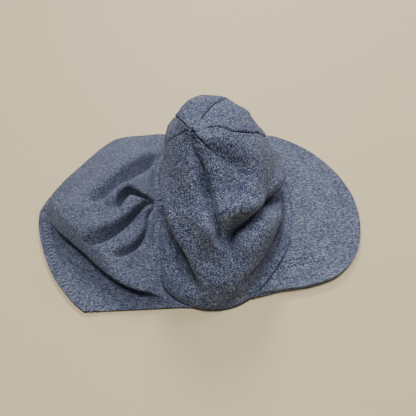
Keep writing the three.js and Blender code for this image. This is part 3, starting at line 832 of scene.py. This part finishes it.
# %% The flap's tables
FLAP_EDGE = table("x y crest hem", [
    (-73, -94, 7, 1.8), (-84, -85, 10, 1.8), (-101, -65, 14, 1.8), (-115, -39, 18, 2),
    (-123.5, -16, 20, 3), (-120, -2, 20, 4), (-115, 12, 21, 5), (-103, 37, 20, 4.5), (-89, 62, 16, 4),
    (-73, 79, 11, 3.5), (-52, 84, 7, 3), (-24, 87, 4, 2.6),
])
FLAP_STATIONS = [0, 0.07, 0.18, 0.32, 0.45, 0.515, 0.58, 0.7, 0.8, 0.88, 0.95, 1]
FLAP_ROWS = {"from": 3.25, "to": 8.45}
FLAP_WALL = 1.5
FLAP_COLUMNS = 288
FLAP_RINGS = 138
HEM_WIDTH = 10.0
FLAP_TUCK = 1.6
FLAP_LIP = [
    (-134, -4), (-122.5, -14.5), (-109.5, -26.5), (-96, -38), (-81, -51), (-67.5, -63.5), (-52, -75.5),
    (-38, -82), (-24, -86), (-8, -91),
]
# The share of its height that the lip keeps at its ends, where it fades in and out along its path, and how
# dark the shade painted on the cloth under it is.
LIP_LOW = 0.2
LIP_FADE = {"in": 0.09, "over": 0.25, "out": 0.8}
LIP_SHADE = 0.3
# The shares of the flap, from the rim and from its near edge, over which the lip's shift fades in.
RIM_HOLD = 0.25
EDGE_HOLD = 0.06
# Rows of: distance inside the lip, where the cloth goes, how high it stands.
LIP = [
    (-40, -40, 1.9), (-20, -20, 1.9), (-12, -12, 1.9), (-8, -7, 1.9), (-5, -2.6, 2.1), (-2.5, 1, 2.6),
    (-0.5, 2.2, 4), (1.5, 1.6, 6), (3.5, 0.2, 8), (5.5, -0.8, 10), (7.5, 0, 11.6), (10.5, 3, 12.2),
    (16, 10, 10.5), (24, 21, 7), (38, 38, 0),
]
# Each path row: x, y, how wide the wall is, how deep the fold is.
FLAP_FOLDS = [
    {"at": "wedge", "crest": 3, "lean": 2.4, "foot": 5, "path": [
        (-32, -11, 1.5, 3), (-38, -11, 2.4, 5), (-44, -9, 3.6, 7), (-50, -8, 5, 8), (-54, -13, 6, 7),
        (-56, -19, 6, 5), (-58, -24, 4, 0)]},
    {"at": "long valley", "lean": 1.5, "foot": 6, "path": [
        (-33, -9, 1.5, 3), (-42, -22, 2.4, 4.5), (-49, -32, 3.6, 5.5), (-56, -40, 6, 6),
        (-62, -44, 8, 6.5), (-70, -46, 9, 5.5), (-80, -47, 6, 0)]},
    {"at": "sharp crease", "foot": 3, "lean": 1.5, "path": [
        (-32, -14, 1.5, 3), (-33.5, -18, 1.5, 3.5), (-36, -26, 1.5, 3.5), (-35.5, -32, 1.5, 2.5),
        (-36.5, -38, 2, 3.5), (-39, -45, 2.4, 4), (-42, -50, 3, 4), (-47, -54, 4, 3.5),
        (-54, -56, 4, 0)]},
    {"at": "far valley", "foot": 9, "path": [
        (-33, 46, 6, 2), (-39, 38, 8, 5), (-51, 16, 9, 6), (-63, -5, 9, 5.5), (-73, -13, 7, 3.5),
        (-81, -17, 5, 0)]},
    {"at": "edge dent", "foot": 6, "path": [
        (-102, 4, 4, 0), (-103.5, -5, 4, 2), (-104.5, -17, 4, 2), (-103, -27, 4, 0)]},
]
FLAP_FOOT = 4.0
FLAP_CREST = 5.0
GATHER = (-30.0, -12.0)
# How sharply the flap rises between the rim and the hem: more on the near side, less past this share.
FLAP_ARCH = {"near": 1.3, "less": 0.5, "past": 0.25, "over": 0.15}
HEM_STEP = {"rise": 0.5, "over": 1.2}
HEM_RIPPLE = {"rise": 0.14, "turn": 9, "over": 2}


# %% Make the flap
def station_rows(p):
    return np.interp(p, FLAP_STATIONS, np.arange(len(FLAP_STATIONS)))


def level_line(path):
    return np.column_stack([path[:, 0], path[:, 1], np.zeros(len(path))])


def flap_grid():
    """The top of the flap's cloth, how far inside its edge each point lies, and how much shade is painted
    there.
    """
    p, q = shares(FLAP_COLUMNS, FLAP_RINGS)
    u = FLAP_ROWS["from"] + (FLAP_ROWS["to"] - FLAP_ROWS["from"]) * p
    row = station_rows(p)
    start = rim_low(u) - rim_out(u) * FLAP_TUCK
    edge = np.stack([along(column(FLAP_EDGE, name), row) for name in ("x", "y")], -1)
    hem, crest = along(column(FLAP_EDGE, "hem"), row), along(column(FLAP_EDGE, "crest"), row)
    plan = start[..., :2] + (edge - start[..., :2]) * q[..., None]
    reach = np.linalg.norm(edge - start[..., :2], axis=-1)
    level = np.dstack([plan, np.zeros_like(q)])
    up = np.zeros_like(level)
    up[..., 2] = 1
    height = (start[..., 2] + 1.0) * (1 - smooth(q)) + hem * smooth(q)
    arch = FLAP_ARCH["near"] - FLAP_ARCH["less"] * smooth((p - FLAP_ARCH["past"]) / FLAP_ARCH["over"])
    height = height + (crest - 4).clip(0) * np.sin(np.pi * q.clip(0, 1)) ** arch
    move = flap_folds(level, up) * smooth(q / 0.1)[..., None]
    height = height + move[..., 2] + flap_crumple(level, q) * smooth(q / 0.06)
    height, lip_move, shaded = fold_lip(level, up, height, q)
    level = level + move * [1, 1, 0] + lip_move * smooth(p / EDGE_HOLD)[..., None]
    inset = reach * (1 - q)
    height = height + HEM_STEP["rise"] * smooth((HEM_WIDTH - inset) / HEM_STEP["over"])
    near_hem = smooth((HEM_WIDTH + HEM_RIPPLE["over"] - inset) / HEM_RIPPLE["over"])
    height = height + HEM_RIPPLE["rise"] * np.sin(reach * p * HEM_RIPPLE["turn"]) * near_hem
    return np.dstack([level[..., :2], np.maximum(height, FLAP_WALL + 0.15)]), inset, shaded


def flap_folds(level, up):
    """The move that the flap's folds give to each point."""
    move = np.zeros_like(level)
    for fold in FLAP_FOLDS:
        fine = fine_path(fold["path"])
        foot, crest, lean = fold.get("foot", FLAP_FOOT), fold.get("crest", FLAP_CREST), fold.get("lean", 1)
        move += fold_move(level, up, level_line(fine), fine[:, 2], fine[:, 3], -1, foot, crest, lean)
    return move


def flap_crumple(level, q):
    """Pleats that run out of the gather, and a fine crumple."""
    dx, dy = level[..., 0] - GATHER[0], level[..., 1] - GATHER[1]
    radius, angle = np.hypot(dx, dy), np.arctan2(dy, -dx)
    pleat = np.sin(19 * angle + 2.2 * crumple(level, 15, (3, 3, 3)))
    rise = 1.1 * pleat * np.exp(-radius / 11) * smooth((1.4 - np.abs(angle)) / 0.5)
    rise += 1.2 * crumple(level, 24, (9, 4, 1)) * smooth(q / 0.3) + 0.45 * crumple(level, 9, (2, 6, 8))
    return rise + 0.14 * crumple(level, 4, (7, 7, 2))


def fold_lip(level, up, height, q):
    """Lifts the cloth to the lip, lets the lip hang over, lays the strip beyond it flat, and paints shade
    under the lip.
    """
    side, share, left = beside_line(level, up, level_line(fine_path(FLAP_LIP)))
    lip = np.array(LIP, float)
    place = along(lip, np.interp(side, lip[:, 0], np.arange(len(lip))))
    full = LIP_LOW + (1 - LIP_LOW) * smooth((share - LIP_FADE["in"]) / LIP_FADE["over"])
    full = full * (1 - (1 - LIP_LOW) * smooth((share - LIP_FADE["out"]) / (1 - LIP_FADE["out"])))
    inside = (side > lip[0, 0]) & (side < lip[-1, 0])
    shift = np.where(inside, place[..., 1] - place[..., 0], 0) * full
    strip = LIP[0][2]
    target = strip + (place[..., 2] - strip) * full * smooth(q / 0.2)
    both = 0.5 * (height + target + np.sqrt((height - target) ** 2 + 4))
    higher = smooth((side - 5) / 9)
    move = left * (shift * smooth(q / RIM_HOLD))[..., None]
    # Painted shade on the cloth under the lip, darkest at its edge and fading over the strip.
    shaded = LIP_SHADE * bell(np.minimum(side, 0), 12) * smooth((1 - side) / 4)
    return target * (1 - higher) + both * higher, move, shaded


# The rows run back to front, so that the grid's faces look up and the wall lies below them.
flap_points, flap_inset, flap_shaded = (grid[::-1] for grid in flap_grid())
flap_cloth = flap_points[..., :2]
neck_flap = cloth_piece("neck_flap", flap_points, FLAP_WALL, flap_cloth, edge=0.5, painted_shade=flap_shaded)
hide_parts("neck_flap")

# %% [markdown]
# ## The cloth
#
# Marl jersey is knitted from a yarn that mixes dark blue and pale fibres, so it is speckled at the size of a
# stitch. A node group makes the speckle from each point's place, and the knit's relief from the cloth's own
# UV map, in metres, so that the knit follows the folds. Each piece uses the group with its own values; all
# are one jersey, and the lower values of the crown and the flap are painted shade.

# %% The marl node group
def new_group(name, inputs, outputs):
    group = bpy.data.node_groups.new(name, "ShaderNodeTree")
    for label, kind, default in inputs:
        socket = group.interface.new_socket(label, in_out="INPUT", socket_type=kind)
        if default is not None:
            socket.default_value = default
    for label, kind in outputs:
        group.interface.new_socket(label, in_out="OUTPUT", socket_type=kind)
    return group, group.nodes.new("NodeGroupInput"), group.nodes.new("NodeGroupOutput")


def maths(group, operation, first, second):
    node = group.nodes.new("ShaderNodeMath")
    node.operation = operation
    for index, value in enumerate((first, second)):
        if hasattr(value, "is_linked"):
            group.links.new(value, node.inputs[index])
        else:
            node.inputs[index].default_value = value
    return node.outputs[0]


def set_inputs(node, values):
    for label, value in values.items():
        node.inputs[label].default_value = value


def stretched(group, kind, vector, stretch, values):
    """A texture of this kind and these values, on a stretched vector."""
    mapping = group.nodes.new("ShaderNodeMapping")
    set_inputs(mapping, {"Scale": stretch})
    group.links.new(vector, mapping.inputs["Vector"])
    texture = group.nodes.new(kind)
    set_inputs(texture, values)
    group.links.new(mapping.outputs["Vector"], texture.inputs["Vector"])
    return texture


def stretched_noise(group, vector, stretch, scale, detail, roughness):
    values = {"Scale": scale, "Detail": detail, "Roughness": roughness}
    return stretched(group, "ShaderNodeTexNoise", vector, stretch, values).outputs["Fac"]


def ramp(group, value, stops):
    node = group.nodes.new("ShaderNodeValToRGB")
    elements = node.color_ramp.elements
    while len(elements) < len(stops):
        elements.new(0.5)
    for element, (place, colour) in zip(elements, stops):
        element.position = place
        element.color = (*colour, 1)
    group.links.new(value, node.inputs["Fac"])
    return node.outputs["Color"]


STITCHES_PER_METRE = 1150.0
MARL_MIDDLE = 0.51
# How much each texture counts in the marl.
MARL_WEIGHTS = {"fleck": 0.54, "fibre": 0.26, "blotch": 0.14, "cloud": 0.08}
# How many cells or waves each texture has to a metre.
FLECK_SCALE = 2200
FIBRE_SCALE = 2600
BLOTCH_SCALE = 420
CLOUD_SCALE = 60
# Rows of: the marl's value, its colour there.
FLECK_STOPS = [
    (0.18, (0.009, 0.013, 0.030)), (0.34, (0.037, 0.048, 0.098)), (0.50, (0.110, 0.128, 0.205)),
    (0.66, (0.25, 0.275, 0.37)), (0.82, (0.60, 0.63, 0.70)),
]


def flecks(group, vector, stretch, scale):
    """One random value to each cell, about a stitch in size."""
    cells = stretched(group, "ShaderNodeTexVoronoi", vector, stretch, {"Scale": scale})
    split = group.nodes.new("ShaderNodeSeparateXYZ")
    group.links.new(cells.outputs["Color"], split.inputs["Vector"])
    return split.outputs["X"]


def blend(group, share, first, second):
    node = group.nodes.new("ShaderNodeMix")
    group.links.new(share, node.inputs["Factor"])
    group.links.new(first, node.inputs["A"])
    group.links.new(second, node.inputs["B"])
    return node.outputs[0]


def marl_group():
    group, inside, outside = new_group(
        "marl",
        [
            ("Cloth", "NodeSocketVector", None), ("Place", "NodeSocketVector", None),
            ("Streak", "NodeSocketFloat", 1.0), ("Contrast", "NodeSocketFloat", 1.0),
        ],
        [("Colour", "NodeSocketColor"), ("Relief", "NodeSocketFloat"), ("Roughness", "NodeSocketFloat")],
    )
    place = inside.outputs["Place"]
    short = flecks(group, place, (1, 1, 1), FLECK_SCALE)
    long = flecks(group, place, (0.45, 1.3, 1.1), FLECK_SCALE)
    fibre = stretched_noise(group, place, (0.6, 1, 1), FIBRE_SCALE, 2, 0.6)
    blotch = stretched_noise(group, place, (1, 1, 1), BLOTCH_SCALE, 3, 0.65)
    cloud = stretched_noise(group, place, (1, 1, 1), CLOUD_SCALE, 2, 0.5)
    fleck = blend(group, inside.outputs["Streak"], short, long)
    value = maths(group, "MULTIPLY", fleck, MARL_WEIGHTS["fleck"])
    for texture, name in ((fibre, "fibre"), (blotch, "blotch"), (cloud, "cloud")):
        value = maths(group, "ADD", value, maths(group, "MULTIPLY", texture, MARL_WEIGHTS[name]))
    off_middle = maths(group, "SUBTRACT", value, MARL_MIDDLE)
    spread = maths(group, "MULTIPLY", off_middle, inside.outputs["Contrast"])
    value = maths(group, "ADD", MARL_MIDDLE, spread)
    group.links.new(ramp(group, value, FLECK_STOPS), outside.inputs["Colour"])
    group.links.new(knit_relief(group, inside.outputs["Cloth"], fibre), outside.inputs["Relief"])
    rough = maths(group, "ADD", 0.82, maths(group, "MULTIPLY", blotch, 0.16))
    group.links.new(rough, outside.inputs["Roughness"])
    return group


def knit_relief(group, cloth, fine):
    """Rows of small loops: a wave across the cloth and a wave up it, roughened by the fibres."""
    split = group.nodes.new("ShaderNodeSeparateXYZ")
    group.links.new(cloth, split.inputs["Vector"])
    turns = 2 * math.pi * STITCHES_PER_METRE
    across = maths(group, "SINE", maths(group, "MULTIPLY", split.outputs["X"], turns), 0)
    up = maths(group, "SINE", maths(group, "MULTIPLY", split.outputs["Y"], turns * 0.8), 0)
    loops = maths(group, "MULTIPLY", maths(group, "ADD", across, up), 0.22)
    return maths(group, "ADD", loops, maths(group, "MULTIPLY", fine, 0.8))


marl = marl_group()
print("marl group:", len(marl.nodes), "nodes")


# %% The cloth materials
# The colour that painted shade darkens the cloth towards.
PAINTED_SHADE_COLOUR = (0.004, 0.006, 0.014, 1)
SHINE = {"Sheen Weight": 0.05, "Sheen Roughness": 0.5, "Specular IOR Level": 0.2}
RELIEF_DEPTH = 0.00045


def cloth_material(name, streak, value, contrast, saturation, relief):
    """Marl jersey; streak says how long its flecks are, and value how bright it is. Painted shade darkens it
    from an attribute.
    """
    material = bpy.data.materials.new(name)
    material.use_nodes = True
    nodes, links = material.node_tree.nodes, material.node_tree.links
    shader = nodes["Principled BSDF"]
    set_inputs(shader, SHINE)
    cloth = nodes.new("ShaderNodeUVMap")
    cloth.uv_map = "cloth"
    place = nodes.new("ShaderNodeTexCoord")
    group = nodes.new("ShaderNodeGroup")
    group.node_tree = marl
    set_inputs(group, {"Streak": streak, "Contrast": contrast})
    links.new(cloth.outputs["UV"], group.inputs["Cloth"])
    links.new(place.outputs["Object"], group.inputs["Place"])
    tone = nodes.new("ShaderNodeHueSaturation")
    set_inputs(tone, {"Value": value, "Saturation": saturation})
    links.new(group.outputs["Colour"], tone.inputs["Color"])
    # Painted shade: the attribute mixes the cloth towards the painted shade colour.
    shade_amount = nodes.new("ShaderNodeAttribute")
    shade_amount.attribute_name = "painted_shade"
    shade = nodes.new("ShaderNodeMix")
    shade.data_type = "RGBA"
    for socket in shade.inputs:
        if socket.name == "B" and socket.type == "RGBA":
            socket.default_value = PAINTED_SHADE_COLOUR
        if socket.name == "A" and socket.type == "RGBA":
            links.new(tone.outputs["Color"], socket)
    links.new(shade_amount.outputs["Fac"], shade.inputs["Factor"])
    links.new(shade.outputs[2], shader.inputs["Base Color"])
    links.new(group.outputs["Roughness"], shader.inputs["Roughness"])
    bump = nodes.new("ShaderNodeBump")
    set_inputs(bump, {"Strength": relief, "Distance": RELIEF_DEPTH})
    links.new(group.outputs["Relief"], bump.inputs["Height"])
    links.new(bump.outputs["Normal"], shader.inputs["Normal"])
    return material


def dress(pieces, material):
    for piece in pieces:
        piece.data.materials.clear()
        piece.data.materials.append(material)
    print(material.name, "on", len(pieces), "pieces")


# The crown, band, peak and flap are one jersey: the crown's slightly lower value and the flap's much lower
# one are painted shade.
CROWN_CLOTH = {"streak": 0.1, "value": 0.79, "contrast": 1.08, "saturation": 1.2, "relief": 0.7}
PEAK_CLOTH = {"streak": 0.8, "value": 0.82, "contrast": 0.96, "saturation": 1.0, "relief": 0.6}
SHADED_FLAP_CLOTH = {"streak": 0.8, "value": 0.74, "contrast": 0.85, "saturation": 1.0, "relief": 0.6}
dress([*gores, rim_band], cloth_material("crown_marl", **CROWN_CLOTH))
dress([peak], cloth_material("peak_marl", **PEAK_CLOTH))
dress([neck_flap], cloth_material("shaded_flap_marl", **SHADED_FLAP_CLOTH))

# %% [markdown]
# ## Thread
#
# Sewn jersey shows its thread: a cover stitch holds the hem with short bars square to the edge, two short
# rows hold the peak's layers together, and a few threads close the crown's tip. One stitch is modelled as a
# small ball, and copies of it are stretched, laid on the cloth and joined, one piece to a row.

# %% Model one stitch and lay rows of it
STITCH_FACES = {"segments": 6, "ring_count": 4}
THREAD = {"roughness": 0.6, "sheen": 0.3, "twists": 900, "relief": 0.0001}


def thread_material(name, colour):
    """A matt thread, whose twist is a fine wave."""
    material = plain_material(name, colour, THREAD["roughness"])
    nodes, links = material.node_tree.nodes, material.node_tree.links
    shader = nodes["Principled BSDF"]
    set_inputs(shader, {"Sheen Weight": THREAD["sheen"]})
    place = nodes.new("ShaderNodeTexCoord")
    twist = nodes.new("ShaderNodeTexWave")
    set_inputs(twist, {"Scale": THREAD["twists"], "Distortion": 2})
    bump = nodes.new("ShaderNodeBump")
    set_inputs(bump, {"Distance": THREAD["relief"]})
    links.new(place.outputs["Object"], twist.inputs["Vector"])
    links.new(twist.outputs["Fac"], bump.inputs["Height"])
    links.new(bump.outputs["Normal"], shader.inputs["Normal"])
    return material


def make_stitch(material):
    """One stitch, a ball one metre across, which stitch_frame stretches along X."""
    deselect_all()
    bpy.ops.mesh.primitive_uv_sphere_add(radius=0.5, **STITCH_FACES)
    stitch = bpy.context.object
    shade_smooth(stitch)
    stitch.data.materials.append(material)
    return stitch


def stitch_frame(spot, run, up, size):
    """The matrix that lays a stitch of this length, width and height on the cloth."""
    up = Vector(up).normalized()
    run = (Vector(run) - Vector(run).dot(up) * up).normalized()
    turn = Matrix((run, up.cross(run), up)).transposed().to_4x4()
    return Matrix.Translation(spot) @ turn @ Matrix.Diagonal((*size, 1))


def lay_stitches(name, spots, runs, ups, size, material, node):
    """Copies one stitch to each spot, all in mm, and joins the copies to one piece."""
    pattern = make_stitch(material)
    copies = []
    for spot, run, up in zip(spots, runs, ups):
        copy = bpy.data.objects.new(name, pattern.data.copy())
        middle = (Vector(spot) + Vector(TABLE_SHIFT)) * MM
        copy.data.transform(stitch_frame(middle, run, up, Vector(size) * MM))
        bpy.context.collection.objects.link(copy)
        copies.append(copy)
    bpy.data.objects.remove(pattern)
    deselect_all()
    for copy in copies:
        copy.select_set(True)
    bpy.context.view_layer.objects.active = copies[0]
    bpy.ops.object.join()
    row = bpy.context.object
    row.name = name
    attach(row, "root")
    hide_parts(node)


# A line's direction at a point is taken from this share of a step behind it to as far ahead.
STEP = 0.3


def spaced(points, pitch):
    """Points, directions and broken indices at an even pitch along a polyline."""
    run = np.concatenate([[0], np.cumsum(np.linalg.norm(np.diff(points, axis=0), axis=1))])
    count = max(2, int(run[-1] / pitch))
    places = np.interp(np.linspace(0, run[-1], count), run, np.arange(len(points)))
    ahead = along(points, places.clip(0, len(points) - 1 - STEP) + STEP)
    behind = along(points, places.clip(STEP) - STEP)
    return along(points, places), ahead - behind, places


navy_thread = thread_material("navy_thread", (0.012, 0.016, 0.035, 1))
pale_thread = thread_material("pale_thread", (0.27, 0.30, 0.37, 1))

# %% Sew the flap's hem
HEM_ROW_INSET = 5.0
HEM_STITCH = {"pitch": 1.7, "size": (2.6, 0.65, 0.55)}


def inset_line(points, inset, wanted):
    """The points of a flap's grid, one for each column, at the wanted distance inside the hem."""
    columns = np.arange(len(points))
    rings = np.array([np.interp(-wanted, -inset[column], np.arange(inset.shape[1])) for column in columns])
    return np.array([along(points[column], ring) for column, ring in zip(columns, rings)])


flap_up = grid_normals(flap_points)
flap_up = flap_up * np.sign(flap_up[..., 2:].mean())
hem_line = inset_line(flap_points, flap_inset, HEM_ROW_INSET)
hem_up = inset_line(flap_up, flap_inset, HEM_ROW_INSET)
hem_spots, hem_runs, hem_places = spaced(hem_line, HEM_STITCH["pitch"])
hem_ups = along(hem_up, hem_places)
across = np.cross(hem_ups, hem_runs)
for name, first, thread in (("hem_stitches_dark", 0, navy_thread), ("hem_stitches_pale", 1, pale_thread)):
    spots, runs, ups = (values[first::2] for values in (hem_spots, across, hem_ups))
    lay_stitches(name, spots, runs, ups, HEM_STITCH["size"], thread, "neck_flap")
print("hem stitches:", len(hem_spots))

# %% Sew the peak's short rows and the tip of the crown
# Where each row starts and ends, in plan.
PEAK_ROWS_SEWN = [((58, -57.5), (82, -51.8)), ((58.5, -62.5), (89, -54.5))]
PEAK_STITCH = {"pitch": 2.7, "size": (1.4, 2.1, 1.0)}


def on_grid(points, spot):
    """The point of a grid nearest to a spot in plan."""
    away = np.linalg.norm(points[..., :2] - np.array(spot, float), axis=-1)
    return points[np.unravel_index(away.argmin(), away.shape)]


for index, (start, end) in enumerate(np.array(PEAK_ROWS_SEWN)):
    count = int(math.dist(start, end) / PEAK_STITCH["pitch"])
    spots = [on_grid(peak_points, start + (end - start) * k / count) for k in range(count + 1)]
    spots = np.array(spots) + [0, 0, PEAK_WALL / 2]
    runs, ups = [[*(end - start), 0]] * len(spots), [[0, 0, 1]] * len(spots)
    name = "peak_stitches_%d" % (index + 1)
    lay_stitches(name, spots, runs, ups, PEAK_STITCH["size"], navy_thread, "peak")
# Rows of: a column and a ring of the crown's grid, the way the stitch runs.
TIP_STITCHES = [(40, -9, (1, 0.4, 0)), (160, -8, (0.3, 1, 0)), (320, -7, (1, -0.5, 0))]
TIP_SIZE = (1.6, 0.5, 0.4)
tip_normals = grid_normals(crown_points, closed=True)
columns, rings, runs = zip(*TIP_STITCHES)
spots, ups = crown_points[columns, rings], tip_normals[columns, rings]
lay_stitches("tip_stitches", spots, runs, ups, TIP_SIZE, pale_thread, "crown_front_near")
print("peak and tip sewn")

# %% [markdown]
# ## Finish
#
# The view layer is brought up to date.

# %% Finish
bpy.context.view_layer.update()
